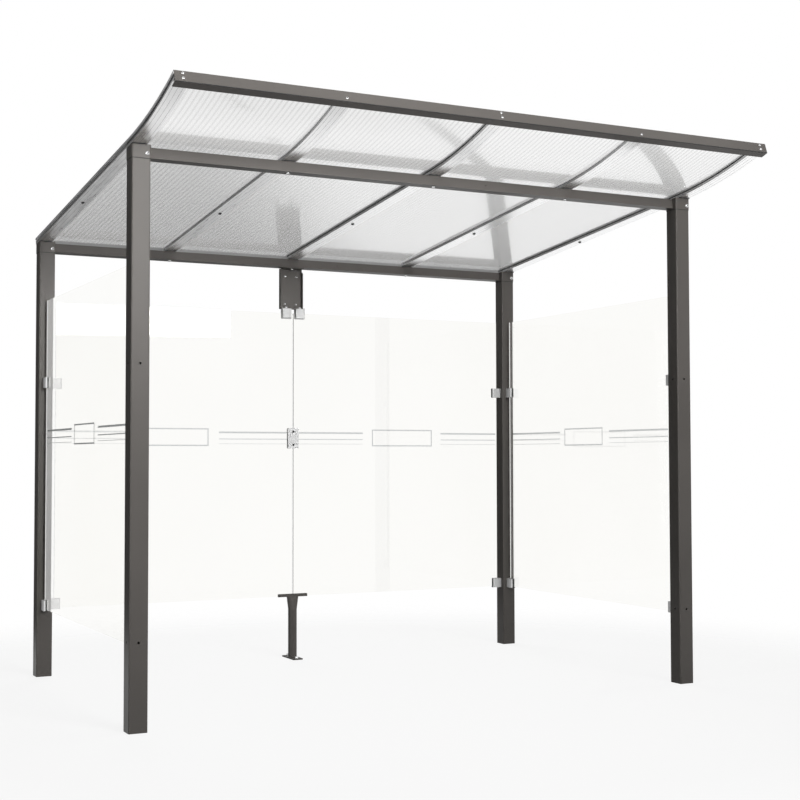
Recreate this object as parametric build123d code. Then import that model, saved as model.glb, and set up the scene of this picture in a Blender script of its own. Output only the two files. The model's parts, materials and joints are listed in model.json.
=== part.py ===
# Open bus shelter: four square posts with sloping heads, two roof beams, a roof of
# multiwall sheets in glazing bars that curves up over the front, and glass on three sides.
# X runs along the length, -Y faces the open front, Z is up; the posts stand on Z = 0.
from build123d import *
from math import cos, degrees, radians, sin, tan
import os

# Driving dimensions, millimetres and degrees
span = 2500                 # over the outer faces of the posts
depth = 1551                # front faces of the front posts to rear faces of the rear posts
front_height = 2112         # ground to the underside of the roof at the front post faces
roof_pitch = 5.78           # fall of the roof towards the rear

post_side = 70
post_wall = 3
post_corner = 5             # outer corner radius
clamp_hole = 9              # spare clamp holes drilled in the posts

head_height = 50            # at the front face of a head
head_proud = 1.5            # head outside the post, each side
head_wall = 4
least_corner = 0.5          # inner corner of a thick-walled tube
plug_wall = 3
plug_length = 60            # part of the head that goes down inside the post
plug_gap = 0.3

beam_side = 40
beam_wall = 2
beam_setback = 24           # beam behind the front face of its posts
beam_end_gap = 0.5
beam_hole = 7               # spare hole in the front wall of each beam
beam_hole_x = 233
pad_width = 50              # rubber pads under the three inner bars, on the beams
pad_thickness = 3

bar_width = 58              # lower part of a glazing bar
bar_height = 10
bar_rib = 6                 # rib beside the edge of a sheet
seat_width = 52             # seat under the sheets, with a gasket along each side
seat_height = 2.8
cap_width = 62              # strip that holds the sheets down
cap_height = 8.8
cap_corner = 3
sheet_thickness = 8
sheet_seat_gap = 0.2        # above and below a sheet
sheet_edge_gap = 4          # room for the sheet to grow beside a rib
end_bar_inset = 26.5        # axis of an end bar inside the post's outer face
inner_bay = 629             # axis of the middle bar to the next ones
bend_radius = 2400
bend_setback = 33           # start of the curve behind the front faces of the posts
bend_length = 548           # arc from there to the fascia, along the underside

fascia_height = 44
fascia_wall = 2
fascia_top_flange = 42
fascia_bottom_flange = 35
fascia_overrun = 2          # beyond the posts at each end
fascia_seat_gap = 0.6
fascia_bend = 3             # outer radius of its two bends

pane_thickness = 8
pane_bottom = 302
pane_top_gap = 22.5         # from the panes up to the hanger's shelf
pane_gap = 20               # between a pane's edge and the post
seam_gap = 5                # between the two rear panes

clamp_reach = 46
clamp_height = 47
clamp_heel = 3              # room behind the glass edge
clamp_thickness = 28
clamp_corner = 7
clamp_pad_gap = 0.8         # beside the glass, for a rubber lining
clamp_centres = (320, 1318)

hanger_width = 120
hanger_height = 204
hanger_wall = 3
hanger_flange = 20          # side flanges
hanger_back = 4             # outer face behind the rear beam
hanger_cut = 12             # bevel at the flange ends
hanger_flange_drop = 18     # front of a flange below the beam
hanger_clamp_centre = 35
hanger_clamp_height = 50    # length of a hanging clamp

joiner_width = 56
joiner_height = 100
joiner_thickness = 5
joiner_centre = 1074
joiner_corner = 4
joiner_pad_gap = 0.3

rail_length = 150
rail_floor = 3
rail_wall = 4
rail_height = 14
rail_pad_gap = 0.3
stand_tube = 42.4
stand_wall = 3
stand_neck_width = 56       # the tube's top, pressed wide and flat
stand_neck_depth = 26
stand_neck_length = 62
stand_neck_corner = 8
base_width = 50
base_length = 150
base_thickness = 6
base_corner = 4
base_hole = 11
base_hole_spacing = 110

# Places that follow from them. Y is counted from the front faces of the posts.
fall = tan(radians(roof_pitch))
post_spacing = depth - post_side
sheet_zone = sheet_thickness + 2 * sheet_seat_gap
seat_top = bar_height + seat_height
roof_stack = seat_top + sheet_zone + cap_height
bend_angle = degrees(bend_length / bend_radius)
end_axis = span / 2 - end_bar_inset
pane_plane = depth - post_side / 2
side_plane = span / 2 - post_side / 2
inner_face = span / 2 - post_side


def bearing(y):
    # Height of the roof's underside over the straight part
    return front_height - fall * y


bend_start = (bend_setback, bearing(bend_setback))
bend_centre = (
    bend_start[0] + bend_radius * sin(radians(roof_pitch)),
    bend_start[1] + bend_radius * cos(radians(roof_pitch)),
)


def on_bend(angle, rise):
    # Point on the curved front, an angle past the start and a rise above the underside
    turn = radians(roof_pitch + angle)
    radius = bend_radius - rise
    return (bend_centre[0] - radius * sin(turn), bend_centre[1] - radius * cos(turn))


def on_straight(y, rise):
    # Point on the straight roof, with the rise square to the underside
    return (y, bearing(y) + rise / cos(radians(roof_pitch)))


def profile(points):
    # Face in the YZ plane from a closed outline
    return make_face(Plane.YZ * Polyline(*points, close=True))


def roof_strip(low, high, x_from, x_to):
    # Strip of the roof between two rises, from the rear edge to the fascia
    start_low = on_bend(0, low)
    start_high = on_bend(0, high)
    end_low = on_bend(bend_angle, low)
    end_high = on_bend(bend_angle, high)
    outline = [
        Line(on_straight(depth, low), start_low),
        ThreePointArc(start_low, on_bend(bend_angle / 2, low), end_low),
        Line(end_low, end_high),
        ThreePointArc(end_high, on_bend(bend_angle / 2, high), start_high),
        Line(start_high, on_straight(depth, high)),
        Line(on_straight(depth, high), on_straight(depth, low)),
    ]
    face = make_face([Plane.YZ * edge for edge in outline])
    return Pos(x_from, 0, 0) * extrude(face, amount=x_to - x_from, dir=(1, 0, 0))


def square_tube(side, wall, corner, length):
    # Upright tube that starts on Z = 0
    outer = RectangleRounded(side, side, corner)
    inner = RectangleRounded(side - 2 * wall, side - 2 * wall, max(corner - wall, least_corner))
    return extrude(outer - inner, amount=length)


def make_post(post_y):
    top = bearing(post_y) - head_height
    post = square_tube(post_side, post_wall, post_corner, top)
    drill = Cylinder(clamp_hole / 2, post_side * 2)
    for height in clamp_centres:
        post -= Pos(0, 0, height) * Rot(90, 0, 0) * drill
        post -= Pos(0, 0, height) * Rot(0, 90, 0) * drill
    return post


def make_head(post_y):
    # Hollow cap: sleeve over the joint, sloping top and a plug down inside the post
    joint = bearing(post_y) - head_height
    side = post_side + 2 * head_proud
    block = extrude(RectangleRounded(side, side, post_corner + head_proud), amount=head_height + side * fall)
    cavity_side = side - 2 * head_wall
    cavity = extrude(Rectangle(cavity_side, cavity_side), amount=head_height - head_wall - side * fall)
    plug_side = post_side - 2 * (post_wall + plug_gap)
    plug = Pos(0, 0, -plug_length) * square_tube(plug_side, plug_wall, post_corner, plug_length + head_wall)
    floor_plate = extrude(Rectangle(cavity_side, cavity_side), amount=head_wall)
    top_centre = head_height - fall * post_side / 2
    above = Pos(0, 0, top_centre) * Rot(-roof_pitch, 0, 0) * Pos(0, 0, side) * Box(3 * side, 3 * side, 2 * side)
    head = (block - cavity + floor_plate + plug) - above
    return Pos(0, 0, joint) * head


def make_beam(post_y):
    # Square tube between two heads, turned to the roof pitch
    length = 2 * (inner_face - head_proud - beam_end_gap)
    outer = Rectangle(beam_side, beam_side)
    inner = Rectangle(beam_side - 2 * beam_wall, beam_side - 2 * beam_wall)
    tube = extrude(Plane.YZ * (outer - inner), amount=length / 2, both=True)
    drill = Pos(beam_hole_x, -beam_side / 2, 0) * Rot(90, 0, 0) * Cylinder(beam_hole / 2, beam_side / 2)
    tube = Pos(0, beam_side / 2, -beam_side / 2 - pad_thickness) * (tube - drill)
    front = post_y + beam_setback
    return Pos(0, front, bearing(front)) * Rot(-roof_pitch, 0, 0) * tube


def make_pads(axes):
    # Flat pads between both beams and the bars that cross them
    pad = Pos(0, beam_side / 2, -pad_thickness / 2) * Box(pad_width, beam_side, pad_thickness)
    pads = []
    for post_y in (0, post_spacing):
        front = post_y + beam_setback
        place = Pos(0, front, bearing(front)) * Rot(-roof_pitch, 0, 0)
        pads += [Pos(axis, 0, 0) * place * pad for axis in axes]
    return Compound(pads)


def make_bar(axis):
    # Base with a narrower seat under the sheets
    base = roof_strip(0, bar_height, axis - bar_width / 2, axis + bar_width / 2)
    return base + roof_strip(bar_height, seat_top, axis - seat_width / 2, axis + seat_width / 2)


def make_rib(axis):
    # Rib on a bar where a sheet ends, which carries the cap
    return roof_strip(seat_top, seat_top + sheet_zone, axis - bar_rib / 2, axis + bar_rib / 2)


def make_cap(axis):
    low = seat_top + sheet_zone
    half = cap_width / 2
    lower = roof_strip(low, roof_stack - cap_corner, axis - half, axis + half)
    upper = roof_strip(roof_stack - cap_corner, roof_stack, axis - half + cap_corner, axis + half - cap_corner)
    return lower + upper


def make_sheet(left_axis, right_axis):
    low = seat_top + sheet_seat_gap
    inset = bar_rib / 2 + sheet_edge_gap
    return roof_strip(low, low + sheet_thickness, left_axis + inset, right_axis - inset)


def make_fascia():
    # Channel over the front ends of the bars, square to the curve there
    top = roof_stack + fascia_seat_gap + fascia_wall
    upper = Rectangle(fascia_top_flange, fascia_wall, align=(Align.MIN, Align.MAX))
    lower = Rectangle(fascia_bottom_flange, fascia_wall, align=(Align.MIN, Align.MIN))
    web = Rectangle(fascia_wall, fascia_height, align=(Align.MIN, Align.MAX))
    section = upper + web + Pos(0, -fascia_height) * lower
    bends = section.vertices().group_by(Axis.X)[0]
    section = fillet(bends, fascia_bend)
    channel = extrude(Plane.YZ * section, amount=span / 2 + fascia_overrun, both=True)
    corner = on_bend(bend_angle, top)
    tilt = Rot(-roof_pitch - bend_angle, 0, 0)
    return Pos(0, corner[0], corner[1]) * tilt * Pos(0, -fascia_wall, 0) * channel


def make_clamp(reach, height):
    # Clamp that reaches along +X from the carrying face at X = 0; the glass lies in Y = 0
    body = extrude(Rectangle(reach, clamp_thickness, align=(Align.MIN, Align.CENTER)), amount=height / 2, both=True)
    nose = body.edges().filter_by(Axis.Z).group_by(Axis.X)[-1]
    body = fillet(nose, clamp_corner)
    slot = Box(reach, pane_thickness + 2 * clamp_pad_gap, 2 * height, align=(Align.MIN, Align.CENTER, Align.CENTER))
    return body - Pos(pane_gap - clamp_heel, 0, 0) * slot


def clamp_pair(x, y, turn):
    clamp = Rot(0, 0, turn) * make_clamp(clamp_reach, clamp_height)
    return Compound([Pos(x, y, height) * clamp.solid() for height in clamp_centres])


def make_pane(x_size, y_size, x_mid, y_mid):
    low = (Align.CENTER, Align.CENTER, Align.MIN)
    return Pos(x_mid, y_mid, pane_bottom) * Box(x_size, y_size, pane_height, align=low)


# The rear beam's lower corners, the hanger's levels and the panes hung below it
rear_beam_front = post_spacing + beam_setback
beam_drop = (pad_thickness + beam_side) / cos(radians(roof_pitch))
hanger_rear = rear_beam_front + beam_side + hanger_back
hanger_front = rear_beam_front
hanger_bottom = bearing(rear_beam_front) - beam_drop - hanger_height
pane_height = hanger_bottom - pane_top_gap - pane_bottom


def beam_under(y):
    # Underside of the rear beam
    return bearing(y) - beam_drop


def make_hanger():
    # Folded plate: back, two side flanges, a top flange under the beam and a shelf below
    rear = hanger_rear
    front = hanger_front
    low = hanger_bottom
    wall = hanger_wall
    back = profile([(rear - wall, low), (rear, low), (rear, beam_under(rear)), (rear - wall, beam_under(rear - wall))])
    top = profile([
        (front, beam_under(front) - wall),
        (rear, beam_under(rear) - wall),
        (rear, beam_under(rear)),
        (front, beam_under(front)),
    ])
    shelf = profile([(front, low), (rear, low), (rear, low + wall), (front, low + wall)])
    flange_front = rear - hanger_flange
    flange_top = beam_under(rear) - wall
    flange = profile([
        (rear, low),
        (flange_front + hanger_cut / 2, low),
        (flange_front, low + hanger_cut),
        (flange_front, flange_top - hanger_flange_drop),
        (rear - wall, flange_top - hanger_cut / 2),
        (rear, flange_top - hanger_cut / 2),
    ])
    half = hanger_width / 2
    plate = extrude(back, amount=half, both=True)
    plate += extrude(top, amount=half - hanger_cut / 2, both=True)
    plate += extrude(shelf, amount=half, both=True)
    for x in (-half, half - wall):
        plate += Pos(x, 0, 0) * extrude(flange, amount=wall, dir=(1, 0, 0))
    return plate


def make_hanger_clamps():
    clamp = Rot(0, 90, 0) * make_clamp(hanger_clamp_height, clamp_reach)
    centres = (-hanger_clamp_centre, hanger_clamp_centre)
    return Compound([Pos(x, pane_plane, hanger_bottom) * clamp.solid() for x in centres])


def make_joiner():
    offset = pane_thickness / 2 + joiner_pad_gap + joiner_thickness / 2
    plate = Box(joiner_width, joiner_thickness, joiner_height)
    plate = fillet(plate.edges().filter_by(Axis.Y), joiner_corner)
    sides = (pane_plane - offset, pane_plane + offset)
    return Compound([Pos(0, y, joiner_centre) * plate.solid() for y in sides])


def make_rail():
    # Shoe under the lower corners of the rear panes
    width = pane_thickness + 2 * (rail_pad_gap + rail_wall)
    outer = Box(rail_length, width, rail_height, align=(Align.CENTER, Align.CENTER, Align.MIN))
    groove = Box(
        2 * rail_length,
        pane_thickness + 2 * rail_pad_gap,
        2 * rail_height,
        align=(Align.CENTER, Align.CENTER, Align.MIN),
    )
    rail = outer - Pos(0, 0, rail_floor) * groove
    return Pos(0, pane_plane, pane_bottom - rail_floor) * rail


def make_stand_tube():
    # Round tube whose top is pressed into a wide flat mouth
    top = pane_bottom - rail_floor
    neck = top - stand_neck_length
    tube = Pos(0, 0, base_thickness) * extrude(Circle(stand_tube / 2), amount=neck - base_thickness)
    mouth = RectangleRounded(stand_neck_width, stand_neck_depth, stand_neck_corner)
    tube += loft([Pos(0, 0, neck) * Circle(stand_tube / 2), Pos(0, 0, top) * mouth])
    bore = Pos(0, 0, base_thickness) * extrude(Circle(stand_tube / 2 - stand_wall), amount=neck - base_thickness)
    return Pos(0, pane_plane, 0) * (tube - bore)


def make_base_plate():
    plate = extrude(RectangleRounded(base_width, base_length, base_corner), amount=base_thickness)
    for side in (-1, 1):
        plate -= Pos(0, side * base_hole_spacing / 2, 0) * Cylinder(base_hole / 2, 4 * base_thickness)
    return Pos(0, pane_plane, 0) * plate


def build():
    parts = {}
    corners = {
        "front_left": (-side_plane, 0),
        "front_right": (side_plane, 0),
        "rear_left": (-side_plane, post_spacing),
        "rear_right": (side_plane, post_spacing),
    }
    for corner, (x, y) in corners.items():
        place = Pos(x, y + post_side / 2, 0)
        parts["post_" + corner] = place * make_post(y)
        parts["head_" + corner] = place * make_head(y)
    parts["beam_front"] = make_beam(0)
    parts["beam_rear"] = make_beam(post_spacing)

    # Each sheet runs over two bays, from an end bar across a plain one to the middle bar
    for name, axis in (("left_end", -end_axis), ("middle", 0), ("right_end", end_axis)):
        parts["glazing_bar_" + name] = make_bar(axis) + make_rib(axis)
        parts["bar_cap_" + name] = make_cap(axis)
    for name, axis in (("left", -inner_bay), ("right", inner_bay)):
        parts["glazing_bar_" + name] = make_bar(axis)
    parts["bar_pads"] = make_pads((-inner_bay, 0, inner_bay))
    parts["roof_sheet_left"] = make_sheet(-end_axis, 0)
    parts["roof_sheet_right"] = make_sheet(0, end_axis)
    parts["fascia"] = make_fascia()

    side_length = post_spacing - post_side - 2 * pane_gap
    side_middle = (post_side + post_spacing) / 2
    parts["pane_left"] = make_pane(pane_thickness, side_length, -side_plane, side_middle)
    parts["pane_right"] = make_pane(pane_thickness, side_length, side_plane, side_middle)
    rear_length = inner_face - pane_gap - seam_gap / 2
    rear_middle = (inner_face - pane_gap + seam_gap / 2) / 2
    parts["pane_rear_left"] = make_pane(rear_length, pane_thickness, -rear_middle, pane_plane)
    parts["pane_rear_right"] = make_pane(rear_length, pane_thickness, rear_middle, pane_plane)

    for name, side in (("left", -1), ("right", 1)):
        parts["clamps_front_" + name] = clamp_pair(side * side_plane, post_side, 90)
        parts["clamps_side_" + name] = clamp_pair(side * side_plane, post_spacing, -90)
        turn = 0 if side < 0 else 180
        parts["clamps_rear_" + name] = clamp_pair(side * inner_face, pane_plane, turn)

    parts["hanger_plate"] = make_hanger()
    parts["hanger_clamps"] = make_hanger_clamps()
    parts["pane_joiner"] = make_joiner()
    parts["stand_rail"] = make_rail()
    parts["stand_tube"] = make_stand_tube()
    parts["stand_base"] = make_base_plate()
    return parts


# The origin goes to the middle of the whole shelter, on the ground
parts = build()
boxes = [shape.bounding_box() for shape in parts.values()]
front_edge = min(box.min.Y for box in boxes)
rear_edge = max(box.max.Y for box in boxes)
middle_y = (front_edge + rear_edge) / 2
os.makedirs("parts", exist_ok=True)
for name, shape in parts.items():
    export_step(Pos(0, -middle_y, 0) * shape, "parts/" + name + ".step")
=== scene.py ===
import json
from math import cos, pi, radians, sin, tan

import bmesh
import bpy
from mathutils import Matrix, Vector


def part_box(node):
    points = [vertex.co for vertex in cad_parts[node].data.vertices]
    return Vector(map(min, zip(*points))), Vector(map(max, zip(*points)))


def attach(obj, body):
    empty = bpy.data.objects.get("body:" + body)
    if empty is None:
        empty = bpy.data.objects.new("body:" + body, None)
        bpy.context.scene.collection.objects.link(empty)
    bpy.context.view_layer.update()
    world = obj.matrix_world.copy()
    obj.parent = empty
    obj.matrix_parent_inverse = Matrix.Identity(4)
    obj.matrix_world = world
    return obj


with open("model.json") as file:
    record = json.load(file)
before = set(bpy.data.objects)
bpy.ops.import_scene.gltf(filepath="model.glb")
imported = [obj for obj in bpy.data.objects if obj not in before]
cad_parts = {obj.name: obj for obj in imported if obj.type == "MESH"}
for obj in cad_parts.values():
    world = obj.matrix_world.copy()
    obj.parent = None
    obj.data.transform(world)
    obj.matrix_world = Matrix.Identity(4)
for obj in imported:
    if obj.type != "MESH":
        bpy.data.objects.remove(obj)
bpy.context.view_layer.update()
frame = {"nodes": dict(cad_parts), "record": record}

nodes = frame["nodes"]
print("frame loaded:", len(nodes), "nodes")


# Camera, placed from the front faces of the posts
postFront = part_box("post_front_left")[0].y
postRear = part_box("post_rear_left")[1].y

camera = {
    "place": (-2.6670, -4.9549, 0.9770),   # y counts from the front faces of the posts
    "turn": 26.73,        # degrees to the right of +Y
    "tilt": 2.334,        # degrees up
    "roll": -0.109,
    "lens": 63.81,
    "sensor": 36,
    "clipEnd": 200,
}
camData = bpy.data.cameras.new("camera")
camData.lens = camera["lens"]
camData.sensor_width = camera["sensor"]
camData.clip_end = camera["clipEnd"]
cam = bpy.data.objects.new("camera", camData)
bpy.context.scene.collection.objects.link(cam)
cam.matrix_world = (
    Matrix.Translation(Vector(camera["place"]) + Vector((0, postFront, 0)))
    @ Matrix.Rotation(radians(-camera["turn"]), 4, "Z")
    @ Matrix.Rotation(radians(90 + camera["tilt"]), 4, "X")
    @ Matrix.Rotation(radians(camera["roll"]), 4, "Z")
)
bpy.context.scene.camera = cam
print("camera ready")


# Materials
def newMaterial(name):
    material = bpy.data.materials.new(name)
    material.use_nodes = True
    tree = material.node_tree
    tree.nodes.clear()
    output = tree.nodes.new("ShaderNodeOutputMaterial")
    shader = tree.nodes.new("ShaderNodeBsdfPrincipled")
    tree.links.new(shader.outputs[0], output.inputs["Surface"])
    return material, tree, shader, output


def addNode(tree, kind, **values):
    node = tree.nodes.new(kind)
    for key, value in values.items():
        setattr(node, key, value)
    return node


def setInputs(node, **values):
    # Spaces in a socket's name are written as underscores
    for key, value in values.items():
        node.inputs[key.replace("_", " ")].default_value = value


def calculate(tree, operation, first, second):
    node = addNode(tree, "ShaderNodeMath", operation=operation, use_clamp=True)
    tree.links.new(first, node.inputs[0])
    tree.links.new(second, node.inputs[1])
    return node.outputs[0]


def mapRange(tree, value, source, target=(0, 1), smooth=False):
    kind = "SMOOTHSTEP" if smooth else "LINEAR"
    remap = addNode(tree, "ShaderNodeMapRange", interpolation_type=kind)
    setInputs(remap, From_Min=source[0], From_Max=source[1], To_Min=target[0], To_Max=target[1])
    tree.links.new(value, remap.inputs["Value"])
    return remap.outputs["Result"]


def mixShaders(tree, factor, first, second):
    mix = addNode(tree, "ShaderNodeMixShader")
    tree.links.new(factor, mix.inputs["Fac"])
    tree.links.new(first.outputs[0], mix.inputs[1])
    tree.links.new(second.outputs[0], mix.inputs[2])
    return mix


def transparent(tree, tint=(1, 1, 1)):
    clear = addNode(tree, "ShaderNodeBsdfTransparent")
    clear.inputs["Color"].default_value = (*tint, 1)
    return clear


def objectNoise(tree, scale, detail, stretch=(1, 1, 1)):
    # Noise on object coordinates; stretch draws it out along an axis
    place = addNode(tree, "ShaderNodeTexCoord")
    mapping = addNode(tree, "ShaderNodeMapping")
    setInputs(mapping, Scale=stretch)
    noise = addNode(tree, "ShaderNodeTexNoise")
    setInputs(noise, Scale=scale, Detail=detail)
    tree.links.new(place.outputs["Object"], mapping.inputs["Vector"])
    tree.links.new(mapping.outputs["Vector"], noise.inputs["Vector"])
    return noise.outputs["Fac"]


def colourRamp(tree, factor, dark, light, low=0.35, high=0.65):
    ramp = addNode(tree, "ShaderNodeValToRGB")
    for stop, position, colour in zip(ramp.color_ramp.elements, (low, high), (dark, light)):
        stop.position = position
        stop.color = (*colour, 1)
    tree.links.new(factor, ramp.inputs["Fac"])
    return ramp.outputs["Color"]


def addBump(tree, shader, height, strength, distance):
    bump = addNode(tree, "ShaderNodeBump")
    setInputs(bump, Strength=strength, Distance=distance)
    tree.links.new(height, bump.inputs["Height"])
    tree.links.new(bump.outputs["Normal"], shader.inputs["Normal"])


noiseMiddle = (0.3, 0.7)      # where most of a noise's values lie


def paintedSteel():
    # Powder coat with a fine grain
    look = {
        "dark": (0.103, 0.095, 0.088),
        "light": (0.119, 0.110, 0.102),
        "patch": 2.2,
        "roughness": (0.33, 0.39),
        "grain": 900,
        "bump": (0.25, 0.0003),       # strength and distance
        "flake": 0.05,                # share of metal in the coat
        "gloss": 0.20,
    }
    material, tree, shader, output = newMaterial("powder coated steel")
    patch = objectNoise(tree, look["patch"], detail=4)
    grain = objectNoise(tree, look["grain"], detail=2)
    tree.links.new(colourRamp(tree, patch, look["dark"], look["light"]), shader.inputs["Base Color"])
    tree.links.new(mapRange(tree, patch, noiseMiddle, look["roughness"]), shader.inputs["Roughness"])
    setInputs(shader, Metallic=look["flake"], Specular_IOR_Level=look["gloss"])
    addBump(tree, shader, grain, *look["bump"])
    # the panes mirror the bright studio, not the posts that they stand between
    path = addNode(tree, "ShaderNodeLightPath")
    mirrored, sharp = path.outputs["Is Reflection Ray"], path.outputs["Is Singular Ray"]
    inPane = calculate(tree, "MULTIPLY", mirrored, sharp)
    mix = mixShaders(tree, inPane, shader, transparent(tree))
    tree.links.new(mix.outputs[0], output.inputs["Surface"])
    return material


def drawnMetal(name, dark, light, roughness, stretch, metallic=1.0):
    # Metal with faint lines along one axis
    look = {"lines": 60, "roughBelow": 0.03, "roughAbove": 0.04, "bump": (0.05, 0.0002)}
    material, tree, shader = newMaterial(name)[:3]
    lines = objectNoise(tree, look["lines"], detail=4, stretch=stretch)
    roughRange = (roughness - look["roughBelow"], roughness + look["roughAbove"])
    tree.links.new(colourRamp(tree, lines, (dark,) * 3, (light,) * 3), shader.inputs["Base Color"])
    tree.links.new(mapRange(tree, lines, noiseMiddle, roughRange), shader.inputs["Roughness"])
    setInputs(shader, Metallic=metallic)
    addBump(tree, shader, lines, *look["bump"])
    return material


def speckled(name, look):
    # Matt surface with a fine mottle
    material, tree, shader, output = newMaterial(name)
    specks = objectNoise(tree, look["speck"], detail=2)
    tree.links.new(colourRamp(tree, specks, look["dark"], look["light"]), shader.inputs["Base Color"])
    setInputs(shader, Roughness=look["roughness"])
    if "bump" in look:
        addBump(tree, shader, specks, *look["bump"])
    return material, tree, shader, output


def blackRubberAndShade():
    look = {
        "dark": (0.010, 0.010, 0.010),
        "light": (0.022, 0.022, 0.022),
        "speck": 400,
        "roughness": 0.7,
        "bump": (0.2, 0.0002),        # strength and distance
    }
    return speckled("black rubber", look)[0]


def greyFoam():
    look = {
        "dark": (0.30, 0.30, 0.30),
        "light": (0.37, 0.37, 0.37),
        "speck": 300,
        "roughness": 0.85,
        "bump": (0.2, 0.0003),
    }
    return speckled("grey foam", look)[0]


def softReflection(tree, path):
    # 1 for rays that a satin or rough surface scattered on their way
    scattered = calculate(tree, "ADD", path.outputs["Glossy Depth"], path.outputs["Diffuse Depth"])
    return calculate(tree, "SUBTRACT", scattered, path.outputs["Is Singular Ray"])


def letLightThrough(tree, shader, output, tint):
    # Lamps and soft reflections pass the clear pieces instead of being stopped by them
    path = addNode(tree, "ShaderNodeLightPath")
    passing = mixShaders(tree, softReflection(tree, path), shader, transparent(tree))
    mix = mixShaders(tree, path.outputs["Is Shadow Ray"], passing, transparent(tree, tint))
    tree.links.new(mix.outputs[0], output.inputs["Surface"])


def printedFilm():
    look = {
        "dark": (0.56, 0.58, 0.59),
        "light": (0.62, 0.64, 0.65),
        "speck": 120,
        "roughness": 0.5,
        "ior": 1.3,
        "shade": (0.6, 0.6, 0.6),
    }
    material, tree, shader, output = speckled("printed film", look)
    setInputs(shader, Transmission_Weight=1.0, IOR=look["ior"])
    letLightThrough(tree, shader, output, look["shade"])
    return material


def clearGlass():
    look = {
        "dark": (0.962, 0.958, 0.936),
        "light": (0.974, 0.970, 0.950),
        "haze": 1.3,
        "ior": 1.5,
        "shade": (0.93, 0.95, 0.92),
    }
    material, tree, shader, output = newMaterial("clear glass")
    haze = objectNoise(tree, look["haze"], detail=3)
    tree.links.new(colourRamp(tree, haze, look["dark"], look["light"]), shader.inputs["Base Color"])
    setInputs(shader, Transmission_Weight=1.0, Roughness=0.0, IOR=look["ior"])
    letLightThrough(tree, shader, output, look["shade"])
    return material


def multiwallSheet():
    # Clear twin wall sheet: its webs show as soft stripes and draw faint waves in the surface
    look = {
        "pitch": 0.020,       # from web to web
        "waveUnit": 20,       # the wave texture turns by this angle per metre at scale 1
        "web": (0.59, 0.59, 0.585),
        "cell": (0.82, 0.82, 0.815),
        "webShare": 0.6,
        "roughness": 0.09,
        "ior": 1.95,          # stands for the four faces of a twin wall sheet
        "bump": (0.12, 0.0004),
        "shade": (0.78, 0.78, 0.78),
    }
    material, tree, shader, output = newMaterial("multiwall sheet")
    place = addNode(tree, "ShaderNodeTexCoord")
    wave = addNode(
        tree, "ShaderNodeTexWave", wave_type="BANDS", bands_direction="X", wave_profile="SIN"
    )
    setInputs(wave, Scale=2 * pi / (look["waveUnit"] * look["pitch"]), Distortion=0.0)
    tree.links.new(place.outputs["Object"], wave.inputs["Vector"])
    # the webs tint the light on its way in only
    stripes = colourRamp(tree, wave.outputs["Fac"], look["web"], look["cell"], 0.0, look["webShare"])
    wall = addNode(tree, "ShaderNodeNewGeometry")
    tint = addNode(tree, "ShaderNodeMix", data_type="RGBA")
    tint.inputs["B"].default_value = (1, 1, 1, 1)
    tree.links.new(wall.outputs["Backfacing"], tint.inputs["Factor"])
    tree.links.new(stripes, tint.inputs["A"])
    tree.links.new(tint.outputs["Result"], shader.inputs["Base Color"])
    setInputs(shader, Transmission_Weight=1.0, Roughness=look["roughness"], IOR=look["ior"])
    addBump(tree, shader, wave.outputs["Fac"], *look["bump"])
    # lamps and the light that rough surfaces gather pass with a tint
    path = addNode(tree, "ShaderNodeLightPath")
    lighting = calculate(tree, "ADD", path.outputs["Is Shadow Ray"], path.outputs["Diffuse Depth"])
    mix = mixShaders(tree, lighting, shader, transparent(tree, look["shade"]))
    tree.links.new(mix.outputs[0], output.inputs["Surface"])
    return material


# The way that the fine lines run
alongBar, upright, even = (1, 0.02, 1), (1, 1, 0.05), (1, 1, 1)
framePaint = paintedSteel()
barMetal = drawnMetal("drawn aluminium bar", dark=0.97, light=1.0, roughness=0.29, stretch=alongBar)
capMetal = drawnMetal("drawn aluminium cap", dark=0.84, light=0.90, roughness=0.36, stretch=alongBar)
clampMetal = drawnMetal(
    "brushed clamp metal", dark=0.50, light=0.57, roughness=0.62, stretch=upright, metallic=0.9
)
boltMetal = drawnMetal("bright bolt steel", dark=0.50, light=0.66, roughness=0.12, stretch=even)
# the same black also paints shade: the lines under the heads, along the fascia and the end bars, in
# the bar grooves and in the sockets
rubber = blackRubberAndShade()
foam = greyFoam()
film = printedFilm()

slotLook = {
    "frame_paint": framePaint,
    "bar_metal": barMetal,
    "cap_metal": capMetal,
    "roof_sheet": multiwallSheet(),
    "glass": clearGlass(),
    "clamp_metal": clampMetal,
    "rubber": rubber,
}
for part in frame["record"]["subparts"]:
    node = nodes[part["node"]]
    node.data.materials.clear()
    node.data.materials.append(slotLook[part["material_slot"]])
print("materials ready")


# What the pieces share
sockets = []          # place and radius of each bolt's socket
fine = 1e-6           # points closer than this are one
sharpFrom = radians(35)


def newPiece(name, bm, material):
    bmesh.ops.recalc_face_normals(bm, faces=bm.faces)
    mesh = bpy.data.meshes.new(name)
    for face in bm.faces:
        face.smooth = True
    bm.to_mesh(mesh)
    bm.free()
    mesh.set_sharp_from_angle(angle=sharpFrom)
    mesh.materials.append(material)
    piece = bpy.data.objects.new(name, mesh)
    bpy.context.scene.collection.objects.link(piece)
    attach(piece, "root")


def addBox(bm, low, high):
    made = bmesh.ops.create_cube(bm, size=1)["verts"]
    size = [high[i] - low[i] for i in range(3)]
    middle = [(high[i] + low[i]) / 2 for i in range(3)]
    bmesh.ops.scale(bm, verts=made, vec=size)
    bmesh.ops.translate(bm, verts=made, vec=middle)
    return made


def addPlate(bm, axis, along, across, upward):
    # Box by its span along a level axis, across it and upward
    low, high = [0, 0, upward[0]], [0, 0, upward[1]]
    low[axis], high[axis] = along
    low[1 - axis], high[1 - axis] = across
    addBox(bm, low, high)


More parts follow.
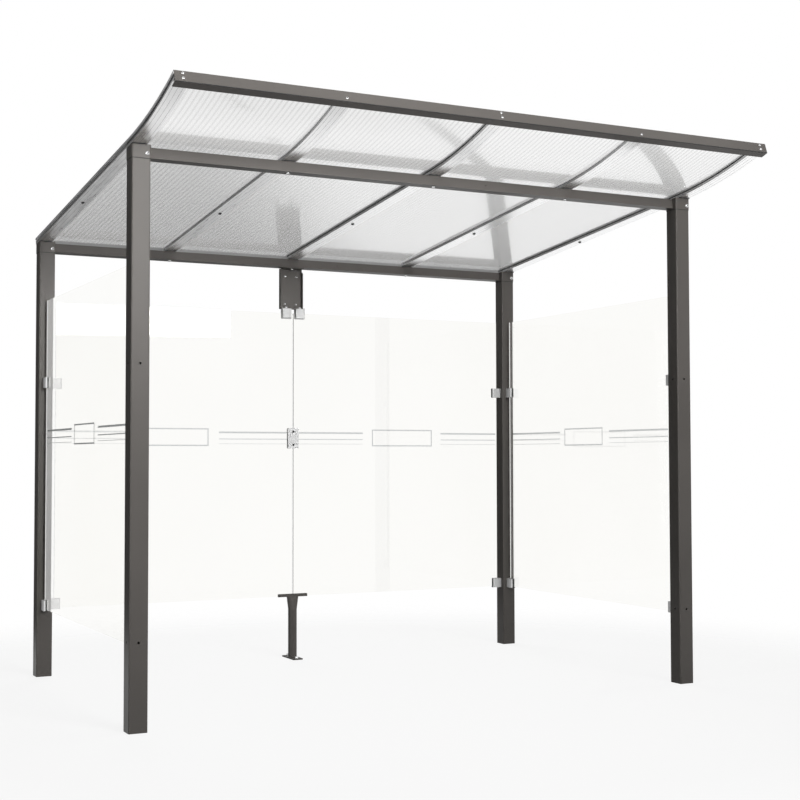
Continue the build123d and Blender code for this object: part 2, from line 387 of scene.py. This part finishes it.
def addDisc(bm, radius, depth, segments):
    return bmesh.ops.create_cone(
        bm, cap_ends=True, segments=segments, radius1=radius, radius2=radius, depth=depth
    )["verts"]


def connected(start):
    # Every vertex joined to this one by edges
    found = {start}
    waiting = [start]
    while waiting:
        for edge in waiting.pop().link_edges:
            for vert in edge.verts:
                if vert not in found:
                    found.add(vert)
                    waiting.append(vert)
    return list(found)


def aim(direction):
    # Turns +Z to the direction
    return Vector((0, 0, 1)).rotation_difference(Vector(direction)).to_matrix().to_4x4()


def addDomeBolt(bm, place, direction, radius, height, socket=0.5):
    # Button head with a socket, spun from its half outline
    dome = {
        "rim": 0.12, "floor": 0.3, "centre": 0.25, "discAt": 0.5,      # shares of the height
        "taper": 0.9, "disc": 0.8,                                     # shares of the socket's radius
        "curveSteps": 5, "turnSteps": 20,
    }
    profile = [(radius, 0), (radius, height * dome["rim"])]
    for step in range(1, dome["curveSteps"]):
        turn = step * pi / 2 / dome["curveSteps"]
        profile.append((radius * cos(turn), height * (dome["rim"] + (1 - dome["rim"]) * sin(turn))))
    profile += [
        (radius * socket, height),
        (radius * socket * dome["taper"], height * dome["floor"]),
        (0, height * dome["centre"]),
    ]
    verts = [bm.verts.new((x, 0, z)) for x, z in profile]
    edges = [bm.edges.new(pair) for pair in zip(verts, verts[1:])]
    bmesh.ops.spin(
        bm, geom=verts + edges, cent=(0, 0, 0), axis=(0, 0, 1), angle=2 * pi,
        steps=dome["turnSteps"], use_merge=True, use_duplicate=False,
    )
    bmesh.ops.remove_doubles(bm, verts=connected(verts[0]), dist=fine)
    whole = connected(next(v for v in verts if v.is_valid))
    place = Matrix.Translation(place) @ aim(direction)
    bmesh.ops.transform(bm, matrix=place, verts=whole)
    lift = Matrix.Translation((0, 0, height * dome["discAt"]))
    sockets.append((place @ lift, radius * socket * dome["disc"]))


def addHexBolt(bm, place, direction, across, height):
    # Hexagon head with a chamfered rim on a thin washer
    hexagon = {
        "washer": 0.62, "head": 0.577,                                 # shares of the width over flats
        "washerHeight": 0.25, "chamfer": 0.12, "topAbove": 0.9,        # shares of the height
        "sides": 6, "washerSides": 24, "chamferSteps": 2,
    }
    washerHeight = height * hexagon["washerHeight"]
    washer = addDisc(bm, across * hexagon["washer"], washerHeight, hexagon["washerSides"])
    bmesh.ops.translate(bm, verts=washer, vec=(0, 0, washerHeight / 2))
    head = addDisc(bm, across * hexagon["head"], height - washerHeight, hexagon["sides"])
    bmesh.ops.translate(bm, verts=head, vec=(0, 0, (height + washerHeight) / 2))
    top = [v for v in head if v.co.z > height * hexagon["topAbove"]]
    rim = {e for v in top for e in v.link_edges if all(w in top for w in e.verts)}
    made = bmesh.ops.bevel(
        bm, geom=list(rim), offset=height * hexagon["chamfer"], affect="EDGES",
        segments=hexagon["chamferSteps"], profile=0.5, material=-1,
    )
    whole = set(washer)
    for vert in head + made["verts"]:
        if vert.is_valid:
            whole.update(connected(vert))
    bmesh.ops.transform(bm, matrix=Matrix.Translation(place) @ aim(direction), verts=list(whole))


# The roof's line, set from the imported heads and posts; heights rise square to the underside
roof = {
    "pitch": radians(5.78),
    "bendRadius": 2.4,
    "bendLength": 0.548,
    "bendBack": 0.033,    # start of the curve behind the front faces of the posts
    "bendSteps": 20,
    "seatBase": 0.010,    # foot of the steps beside the sheets' seats
    "seat": 0.0128,
    "sheetTop": 0.0210,
    "capLow": 0.0212,
    "capTop": 0.0300,
    "pad": 0.003,         # rubber between the beams and the inner bars
    "beamDrop": 0.0402,   # from the pads down to the bolts under the beams
    "sink": 0.0002,       # how far an added strip reaches into what it touches
}
headLow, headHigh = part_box("head_front_left")
pitch = roof["pitch"]
frontHeight = headHigh.z - tan(pitch) * (postFront - headLow.y)
bendAngle = roof["bendLength"] / roof["bendRadius"]


def underside(y):
    return frontHeight - tan(pitch) * (y - postFront)


slope = Vector((0, cos(pitch), -sin(pitch)))
rise = Vector((0, sin(pitch), cos(pitch)))
bendFrom = postFront + roof["bendBack"]
bendStart = Vector((0, bendFrom, underside(bendFrom)))
bendCentre = bendStart + rise * roof["bendRadius"]


def addRoofStrip(bm, xFrom, xTo, low, high, rearY=postRear):
    # Bar of a rectangular section that follows the roof from the rear edge to the fascia
    corners = [(xFrom, low), (xTo, low), (xTo, high), (xFrom, high)]
    verts = [bm.verts.new(bendStart + rise * up + Vector((x, 0, 0))) for x, up in corners]
    face = bm.faces.new(verts)
    back = bmesh.ops.extrude_face_region(bm, geom=[face])["geom"]
    for item in back:
        if isinstance(item, bmesh.types.BMVert):
            item.co += slope * ((rearY - item.co.y) / slope.y)
    front = bm.faces.new([bm.verts.new(v.co) for v in verts])
    if face.is_valid:
        bm.faces.remove(face)
    bmesh.ops.spin(
        bm, geom=[front] + list(front.edges) + list(front.verts), cent=bendCentre, axis=(1, 0, 0),
        angle=-bendAngle, steps=roof["bendSteps"], use_duplicate=False, use_merge=False,
    )


def layOnRoof(bm, verts, y):
    # Turns pieces that were built flat at the origin to the roof's pitch
    place = Matrix.Translation((0, y, underside(y))) @ Matrix.Rotation(-pitch, 4, "X")
    bmesh.ops.transform(bm, matrix=place, verts=verts)


def finishStrips(bm, name, material):
    bmesh.ops.remove_doubles(bm, verts=bm.verts, dist=fine)
    newPiece(name, bm, material)


barNames = ["left_end", "left", "middle", "right", "right_end"]
cappedBars = ["left_end", "middle", "right_end"]      # where a sheet ends
barAxis = {}
for name in barNames:
    low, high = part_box("glazing_bar_" + name)
    barAxis[name] = (low.x + high.x) / 2


def endFlanges():
    # The caps of the end bars reach down over the sheet's edge, and a ledge runs under it
    flange = {
        "inner": 0.026,
        "capOuter": 0.031,
        "capLow": 0.0178,
        "ledgeOuter": 0.029,
        "ledgeLow": 0.0070,
        "ledgeHighRear": 0.0148,      # behind the front posts the ledge stands higher
        "rearFrom": 0.06,
        "overlap": 0.0001,
    }
    capStrips, ledges = bmesh.new(), bmesh.new()
    for name, side in (("left_end", -1), ("right_end", 1)):
        inner = barAxis[name] + side * flange["inner"]
        left, right = sorted((inner, barAxis[name] + side * flange["capOuter"]))
        addRoofStrip(capStrips, left, right, flange["capLow"], roof["capLow"] + roof["sink"])
        left, right = sorted((inner, barAxis[name] + side * flange["ledgeOuter"]))
        addRoofStrip(ledges, left, right, flange["ledgeLow"], roof["seatBase"] - flange["overlap"])
        y = postFront + flange["rearFrom"]
        low = (left, 0, flange["ledgeLow"] - roof["sink"])
        high = (right, (postRear - y) / cos(pitch), flange["ledgeHighRear"])
        layOnRoof(ledges, addBox(ledges, low, high), y)
    finishStrips(capStrips, "cap_flanges", capMetal)
    finishStrips(ledges, "bar_ledges", barMetal)


def barGrooveShade():
    # Three fine black strips along the underside of every bar that paint the shade in its grooves
    groove = {"offsets": (-0.018, 0.0, 0.018), "width": 0.0006, "proud": 0.0001}
    bm = bmesh.new()
    for name in barNames:
        for offset in groove["offsets"]:
            x = barAxis[name] + offset
            half = groove["width"] / 2
            addRoofStrip(bm, x - half, x + half, -groove["proud"], groove["proud"])
    finishStrips(bm, "bar_groove_shade", rubber)


def gasketsAndShadeLines():
    # Rubber beside the seats of the sheets, and a black line along the outer sides of the end bars
    # over the overhang that paints the dark shade and reflection seen there
    lip = {
        "inner": 0.026, "outer": 0.0289,
        "endOuter": 0.0288, "lineLow": 0.0070, "lineHigh": 0.0178, "lineFrom": 0.06,
    }
    bm = bmesh.new()
    for name in barNames:
        for side in (-1, 1):
            outside = name == ("left_end" if side < 0 else "right_end")
            reach = lip["endOuter"] if outside else lip["outer"]
            left, right = sorted((barAxis[name] + side * lip["inner"], barAxis[name] + side * reach))
            if outside:
                # painted shade and dark reflection along the outer side, over the overhang only
                rearY = postFront + lip["lineFrom"]
                addRoofStrip(bm, left, right, lip["lineLow"], lip["lineHigh"], rearY)
            else:
                addRoofStrip(bm, left, right, roof["seatBase"], roof["seat"] + roof["sink"])
    finishStrips(bm, "roof_gaskets_and_shade_lines", rubber)


def rearClosures():
    # Foam strips close the gap between the rear beam and the sheets
    closure = {"thickness": 0.004, "inset": 0.001, "back": 0.012, "below": 0.002, "overlap": 0.0001}
    beamLow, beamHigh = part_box("beam_rear")
    y = beamLow.y + closure["back"]
    bm = bmesh.new()
    for name, following in zip(barNames, barNames[1:]):
        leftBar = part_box("glazing_bar_" + name)[1].x
        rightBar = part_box("glazing_bar_" + following)[0].x
        low = (max(leftBar, beamLow.x) + closure["inset"], 0, -roof["pad"] - closure["below"])
        high = (
            min(rightBar, beamHigh.x) - closure["inset"],
            closure["thickness"],
            roof["seat"] + closure["overlap"],
        )
        layOnRoof(bm, addBox(bm, low, high), y)
    newPiece("rear_closures", bm, foam)


endFlanges()
barGrooveShade()
gasketsAndShadeLines()
rearClosures()
print("gaskets ready")


# Bolts
corners = ["front_left", "front_right", "rear_left", "rear_right"]


def roofBolts():
    headBolt = {"side": 0.022, "drop": 0.033, "radius": 0.0085, "height": 0.006}
    beamBolt = {"radius": 0.007, "height": 0.006}
    bm = bmesh.new()
    for corner in corners:
        low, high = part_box("head_" + corner)
        place = ((low.x + high.x) / 2 + headBolt["side"], low.y, high.z - headBolt["drop"])
        addDomeBolt(bm, place, (0, -1, 0), headBolt["radius"], headBolt["height"])
    for beam in ("beam_front", "beam_rear"):
        low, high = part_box(beam)
        y = (low.y + high.y) / 2
        for name in ("left", "middle", "right"):
            if beam == "beam_rear" and name == "middle":
                continue          # the hanger's own bolt is there
            place = (barAxis[name], y, underside(y) - roof["beamDrop"] - roof["pad"])
            addDomeBolt(bm, place, -rise, beamBolt["radius"], beamBolt["height"])
    newPiece("frame_bolts", bm, boltMetal)


# The fascia's face, square to the end of the curve and measured from its outer top corner
fascia = {"rise": 0.0326, "proud": 0.002}
fasciaTilt = pitch + bendAngle
fasciaDown = Vector((0, -sin(fasciaTilt), -cos(fasciaTilt)))
fasciaOut = Vector((0, -cos(fasciaTilt), sin(fasciaTilt)))
fasciaTop = (
    bendCentre + fasciaDown * (roof["bendRadius"] - fascia["rise"]) + fasciaOut * fascia["proud"]
)


def fasciaShadeLine():
    # Black strip along the lower edge of the face that paints the line of shade at the bend
    line = {"from": 0.0412, "to": 0.0440, "proud": 0.0006, "inset": 0.0005}
    low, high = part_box("fascia")
    bm = bmesh.new()
    addBox(
        bm, (low.x + line["inset"], -line["proud"], line["from"]),
        (high.x - line["inset"], line["inset"], line["to"]),
    )
    turn = Matrix((Vector((1, 0, 0)), -fasciaOut, fasciaDown)).transposed().to_4x4()
    bmesh.ops.transform(bm, matrix=Matrix.Translation(fasciaTop) @ turn, verts=bm.verts)
    newPiece("fascia_shade_line", bm, rubber)


def fasciaBolts():
    bolt = {
        "radius": 0.0058, "height": 0.0045, "upper": 0.0103, "lower": 0.0293,
        "inward": 1.2217 / 1.2235,        # the end bolts are a little nearer to the middle
    }
    bm = bmesh.new()
    for name in barNames:
        x = barAxis[name] * bolt["inward"]
        drops = (bolt["lower"],) if name in ("left", "right") else (bolt["upper"], bolt["lower"])
        for drop in drops:
            place = fasciaTop + fasciaDown * drop + Vector((x, 0, 0))
            addDomeBolt(bm, place, fasciaOut, bolt["radius"], bolt["height"])
    newPiece("fascia_bolts", bm, boltMetal)


def barBolts():
    # Dark bolts through the bars between the beams
    bolt = {"fromFront": 0.812, "radius": 0.0075, "height": 0.005}
    bm = bmesh.new()
    y = postFront + bolt["fromFront"]
    for name in barNames:
        place = Vector((barAxis[name], y, underside(y)))
        addDomeBolt(bm, place, -rise, bolt["radius"], bolt["height"])
        top = roof["capTop"] if name in cappedBars else roof["sheetTop"]
        addDomeBolt(bm, place + rise * top, rise, bolt["radius"], bolt["height"])
    newPiece("bar_bolts", bm, rubber)


def hangerBolts():
    # Four screws on the plate's face, two on its shelf and the bolt up into the beam
    hanger = {
        "plate": 0.003,
        "screw": (0.005, 0.003),          # radius and height, as for the bolts
        "screwSide": 0.030,
        "screwHeights": (1.876, 1.738),
        "shelfBolt": (0.0075, 0.010),
        "shelfSide": 0.035,
        "shelfSocket": 0.2,
        "beamBolt": (0.006, 0.006),
    }
    low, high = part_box("hanger_plate")
    clampLow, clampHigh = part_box("hanger_clamps")
    clampY = (clampLow.y + clampHigh.y) / 2
    bm = bmesh.new()
    for x in (-hanger["screwSide"], hanger["screwSide"]):
        for z in hanger["screwHeights"]:
            addDomeBolt(bm, (x, high.y - hanger["plate"], z), (0, -1, 0), *hanger["screw"])
    for x in (-hanger["shelfSide"], hanger["shelfSide"]):
        place = (x, clampY, low.z + hanger["plate"])
        addDomeBolt(bm, place, (0, 0, 1), *hanger["shelfBolt"], hanger["shelfSocket"])
    y = (low.y + high.y) / 2
    drop = roof["beamDrop"] + hanger["plate"] + roof["pad"]
    addDomeBolt(bm, (0, y, underside(y) - drop), -rise, *hanger["beamBolt"])
    newPiece("hanger_bolts", bm, boltMetal)


def joinerScrews():
    screw = {"fromMiddle": 0.032, "radius": 0.0055, "height": 0.0025}
    low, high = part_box("pane_joiner")
    middle = (low.z + high.z) / 2
    bm = bmesh.new()
    for z in (middle - screw["fromMiddle"], middle + screw["fromMiddle"]):
        addDomeBolt(bm, (0, low.y, z), (0, -1, 0), screw["radius"], screw["height"])
        addDomeBolt(bm, (0, high.y, z), (0, 1, 0), screw["radius"], screw["height"])
    newPiece("joiner_screws", bm, rubber)


def standBolts():
    bolt = {"fromMiddle": 0.055, "across": 0.016, "height": 0.008}
    low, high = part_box("stand_base")
    middle = (low.y + high.y) / 2
    bm = bmesh.new()
    for y in (middle - bolt["fromMiddle"], middle + bolt["fromMiddle"]):
        addHexBolt(bm, (0, y, high.z), (0, 0, 1), bolt["across"], bolt["height"])
    newPiece("stand_bolts", bm, boltMetal)


def socketShade():
    # Black discs that paint the shade at the bottom of each socket
    socket = {"depth": 0.0008, "sides": 6}
    bm = bmesh.new()
    for place, radius in sockets:
        disc = addDisc(bm, radius, socket["depth"], socket["sides"])
        bmesh.ops.transform(bm, matrix=place, verts=disc)
    newPiece("bolt_socket_shade", bm, rubber)


roofBolts()
fasciaShadeLine()
fasciaBolts()
barBolts()
hangerBolts()
joinerScrews()
standBolts()
socketShade()
print("bolts ready")


# Thin rubber between the pieces, and black rings that paint the shade under the heads
def headShadeRingsAndStrips():
    # Black rings under each head paint the shade line there, and dark strips stand where the end bars
    # lie on the heads
    shadeRing = {"proud": 0.0011, "height": 0.0022, "corner": 0.0058, "above": 0.0005, "steps": 4}
    pad = {"half": 0.029, "proud": 0.0012, "height": 0.0026, "behind": 0.0005, "gap": 0.0001}
    bm = bmesh.new()
    for corner in corners:
        low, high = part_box("post_" + corner)
        verts = addBox(
            bm, (low.x - shadeRing["proud"], low.y - shadeRing["proud"], high.z - shadeRing["height"]),
            (high.x + shadeRing["proud"], high.y + shadeRing["proud"], high.z + shadeRing["above"]),
        )
        uprights = {
            e for v in verts for e in v.link_edges
            if abs(e.verts[0].co.z - e.verts[1].co.z) > shadeRing["height"] / 2
        }
        bmesh.ops.bevel(
            bm, geom=list(uprights), offset=shadeRing["corner"], affect="EDGES", segments=shadeRing["steps"],
            profile=0.5, material=-1,
        )
    for end in ("left", "right"):
        middle = barAxis[end + "_end"]
        for row in ("front", "rear"):
            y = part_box("head_" + row + "_" + end)[0].y
            top = underside(y - pad["proud"])
            addBox(
                bm, (middle - pad["half"], y - pad["proud"], top - pad["height"]),
                (middle + pad["half"], y + pad["behind"], top - pad["gap"]),
            )
    newPiece("head_shade_rings_and_strips", bm, rubber)


def edgeGuards():
    # Thin dark strip on the rear edge of both side panes
    guard = {"gap": 0.0001, "thickness": 0.0006}
    bm = bmesh.new()
    for pane in ("pane_left", "pane_right"):
        low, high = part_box(pane)
        addBox(
            bm, (low.x, high.y + guard["gap"], low.z),
            (high.x, high.y + guard["thickness"], high.z),
        )
    newPiece("edge_guards", bm, rubber)


def clampLinings():
    # Rubber between the clamps and the glass, with a wider lip where the glass comes out
    lining = {
        "gap": 0.00005, "wall": 0.00075, "lip": 0.0022, "proud": 0.0010, "heel": 0.017,
        "height": 0.047, "past": 0.0005,
    }
    bm = bmesh.new()
    for group in ("front", "side", "rear"):
        axis = 0 if group == "rear" else 1          # the way the clamp reaches
        for hand in ("left", "right"):
            low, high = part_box("clamps_" + group + "_" + hand)
            paneLow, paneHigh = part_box("pane_rear_" + hand if group == "rear" else "pane_" + hand)
            if paneLow[axis] + paneHigh[axis] > low[axis] + high[axis]:
                wall = (low[axis] + lining["heel"], high[axis] + lining["proud"])
                lip = (high[axis], wall[1])
            else:
                wall = (low[axis] - lining["proud"], high[axis] - lining["heel"])
                lip = (wall[0], low[axis])
            for bottom in (low.z, high.z - lining["height"]):
                upward = (bottom - lining["past"], bottom + lining["height"] + lining["past"])
                for face, side in ((paneLow[1 - axis], -1), (paneHigh[1 - axis], 1)):
                    for along, reach in ((wall, lining["wall"]), (lip, lining["lip"])):
                        across = sorted((face + side * lining["gap"], face + side * reach))
                        addPlate(bm, axis, along, across, upward)
    newPiece("clamp_linings", bm, rubber)


headShadeRingsAndStrips()
edgeGuards()
clampLinings()
print("seams and linings ready")


# Printed bands on the glass: three lines and an empty frame
def paneBands():
    band = {
        "lines": ((1.0970, 0.0080), (1.0670, 0.0042), (1.0452, 0.0018)),   # height and width
        "frameLow": 1.035,
        "frameHigh": 1.120,
        "stroke": 0.006,
        "gap": 0.0002,
        "thickness": 0.00015,
    }
    spans = {
        # pane: (axis, lines from and to, frame from and to); y counts from the posts' front faces
        "pane_rear_right": (0, ((0.028, 0.382), (0.827, 1.156)), (0.433, 0.776)),
        "pane_rear_left": (0, ((-0.381, -0.030), (-1.156, -0.827)), (-0.776, -0.433)),
        "pane_right": (1, ((0.985, 1.434), (0.117, 0.566)), (0.620, 0.945)),
        "pane_left": (1, ((0.990, 1.434), (0.117, 0.566)), (0.620, 0.945)),
    }
    stroke, bottom, top = band["stroke"], band["frameLow"], band["frameHigh"]
    bm = bmesh.new()
    for pane, (axis, lines, (start, stop)) in spans.items():
        plates = [(*line, height, height + width) for line in lines for height, width in band["lines"]]
        plates += [
            (start, stop, bottom, bottom + stroke),
            (start, stop, top - stroke, top),
            (start, start + stroke, bottom + stroke, top - stroke),
            (stop - stroke, stop, bottom + stroke, top - stroke),
        ]
        low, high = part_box(pane)
        if pane == "pane_left":
            face = low[1 - axis] - band["gap"] - band["thickness"]
        else:
            face = high[1 - axis] + band["gap"]
        shift = postFront if axis == 1 else 0
        for left, right, below, above in plates:
            across = (face, face + band["thickness"])
            addPlate(bm, axis, (left + shift, right + shift), across, (below, above))
    newPiece("pane_bands", bm, film)


paneBands()
print("bands ready")


# Floor, world and lamps
def floorMaterial():
    # Near white where it is seen, with the shadow kept, and dark to the light that bounces off it
    look = {
        "fade": (1.9, 3.4),       # from the middle outward it turns clear
        "shadow": 0.14,
        "lit": 0.95,
        "bounce": 0.04,
        "under": 0.45,            # mirrored softly, it is paler away from the roof's shade
        "beyond": 1.0,
        "paler": (0.4, 2.2),
    }
    material, tree, shader, output = newMaterial("studio floor")
    tree.nodes.remove(shader)
    path = addNode(tree, "ShaderNodeLightPath")
    place = addNode(tree, "ShaderNodeTexCoord")
    distance = addNode(tree, "ShaderNodeVectorMath", operation="LENGTH")
    tree.links.new(place.outputs["Object"], distance.inputs[0])
    white = addNode(tree, "ShaderNodeEmission")
    white.inputs["Color"].default_value = (1, 1, 1, 1)
    lit = addNode(tree, "ShaderNodeBsdfDiffuse")
    lit.inputs["Color"].default_value = (look["lit"],) * 3 + (1,)
    seen = addNode(tree, "ShaderNodeMixShader")
    seen.inputs["Fac"].default_value = look["shadow"]
    tree.links.new(white.outputs[0], seen.inputs[1])
    tree.links.new(lit.outputs[0], seen.inputs[2])
    mirrored = addNode(tree, "ShaderNodeEmission")
    paleness = mapRange(tree, distance.outputs["Value"], look["paler"])
    ramp = colourRamp(tree, paleness, (look["under"],) * 3, (look["beyond"],) * 3, 0.0, 1.0)
    tree.links.new(ramp, mirrored.inputs["Color"])
    soft = mixShaders(tree, softReflection(tree, path), seen, mirrored)
    dim = addNode(tree, "ShaderNodeBsdfDiffuse")
    dim.inputs["Color"].default_value = (look["bounce"],) * 3 + (1,)
    bounced = mixShaders(tree, path.outputs["Is Diffuse Ray"], soft, dim)
    fade = mapRange(tree, distance.outputs["Value"], look["fade"], smooth=True)
    mix = mixShaders(tree, fade, bounced, transparent(tree))
    tree.links.new(mix.outputs[0], output.inputs["Surface"])
    return material


def studioFloor():
    disc = {"radius": 5, "segments": 64}
    bm = bmesh.new()
    bmesh.ops.create_circle(bm, cap_ends=True, segments=disc["segments"], radius=disc["radius"])
    mesh = bpy.data.meshes.new("floor")
    bm.to_mesh(mesh)
    bm.free()
    mesh.materials.append(floorMaterial())
    floor = bpy.data.objects.new("floor", mesh)
    bpy.context.scene.collection.objects.link(floor)


def studioWorld():
    # White where it is seen; soft reflections find a dark zone low down to the rear left
    look = {
        "ambient": 0.035,
        "dark": 0.09,
        "darkBelow": 0.34,        # the ground there is less dark than the wall
        "groundFrom": -0.5,
        "groundTo": -0.3,
        "darkTowards": (-0.342, 0.940, 0),
        "darkFrom": 0.64,
        "darkTo": 0.715,
        "lowFrom": 0.46,
        "lowTo": 0.20,
    }
    world = bpy.data.worlds.new("studio")
    bpy.context.scene.world = world
    world.use_nodes = True
    tree = world.node_tree
    tree.nodes.clear()
    path = addNode(tree, "ShaderNodeLightPath")
    place = addNode(tree, "ShaderNodeTexCoord")
    parts = addNode(tree, "ShaderNodeSeparateXYZ")
    tree.links.new(place.outputs["Generated"], parts.inputs[0])
    side = addNode(tree, "ShaderNodeVectorMath", operation="DOT_PRODUCT")
    side.inputs[1].default_value = look["darkTowards"]
    tree.links.new(place.outputs["Generated"], side.inputs[0])
    height = parts.outputs["Z"]
    sideways = mapRange(tree, side.outputs["Value"], (look["darkFrom"], look["darkTo"]), smooth=True)
    low = mapRange(tree, height, (look["lowFrom"], look["lowTo"]), smooth=True)
    zone = calculate(tree, "MULTIPLY", sideways, low)
    shade = calculate(tree, "MULTIPLY", zone, softReflection(tree, path))
    depth = mapRange(
        tree, height, (look["groundFrom"], look["groundTo"]), (look["darkBelow"], look["dark"])
    )
    tone = addNode(tree, "ShaderNodeMapRange")      # from white to the zone's darkness
    setInputs(tone, To_Min=1.0)
    tree.links.new(depth, tone.inputs["To Max"])
    tree.links.new(shade, tone.inputs["Value"])
    bright = addNode(tree, "ShaderNodeBackground")
    tree.links.new(tone.outputs["Result"], bright.inputs["Color"])
    ambient = addNode(tree, "ShaderNodeBackground")
    ambient.inputs["Color"].default_value = (1, 1, 1, 1)
    setInputs(ambient, Strength=look["ambient"])
    seen = calculate(tree, "MAXIMUM", path.outputs["Is Camera Ray"], path.outputs["Is Glossy Ray"])
    seen = calculate(tree, "MAXIMUM", seen, path.outputs["Is Transmission Ray"])
    mix = mixShaders(tree, seen, ambient, bright)
    output = addNode(tree, "ShaderNodeOutputWorld")
    tree.links.new(mix.outputs[0], output.inputs["Surface"])


def addLamp(name, place, target, size, power, gloss=False, diffuse=True, spread=180):
    data = bpy.data.lights.new(name, "AREA")
    data.spread = radians(spread)
    data.shape = "RECTANGLE"
    data.size, data.size_y = size
    data.energy = power
    lamp = bpy.data.objects.new(name, data)
    lamp.location = place
    lamp.rotation_mode = "QUATERNION"
    lamp.rotation_quaternion = (Vector(target) - Vector(place)).to_track_quat("-Z", "Y")
    lamp.visible_transmission = False     # not seen through the panes
    lamp.visible_glossy = gloss
    lamp.visible_diffuse = diffuse
    bpy.context.scene.collection.objects.link(lamp)


studioFloor()
studioWorld()

frontLight = {
    "place": (0.8, postFront - 6.0, 3.0), "target": (-0.9, postFront, 2.6), "size": (3.0, 1.6),
    "spread": 84,
}
lamps = {
    "front lamp": {**frontLight, "power": 62, "gloss": True},
    "front fill": {**frontLight, "power": 50},
    "roof lamp": {
        "place": (0.4, -0.5, 3.4), "target": (-0.1, 1.0, 1.9), "size": (2.4, 1.0), "power": 30,
    },
    "top lamp": {
        "place": (-0.8, -3.0, 4.4), "target": (0, 0, 2.0), "size": (2.5, 1.5), "power": 40,
    },
    "left kicker": {
        "place": (-5.4, -2.4, 1.6), "target": (-1.2, -0.5, 1.4), "size": (5.6, 3.2), "power": 150,
        "gloss": True, "diffuse": False,
    },
    "left fill": {
        "place": (-5.2, -1.0, 1.8), "target": (-1.2, 0, 1.2), "size": (1.0, 1.0), "power": 5,
    },
    "right lamp": {
        "place": (4.8, 0.5, 2.6), "target": (1.0, 0, 1.2), "size": (2.0, 2.0), "power": 22,
    },
    "rear lamp": {
        "place": (0.6, 4.6, 2.8), "target": (0, 0, 1.2), "size": (2.5, 2.0), "power": 80,
    },
}
for name, lamp in lamps.items():
    addLamp(name, **lamp)

bpy.context.scene.view_settings.view_transform = "Standard"
print("stage ready")
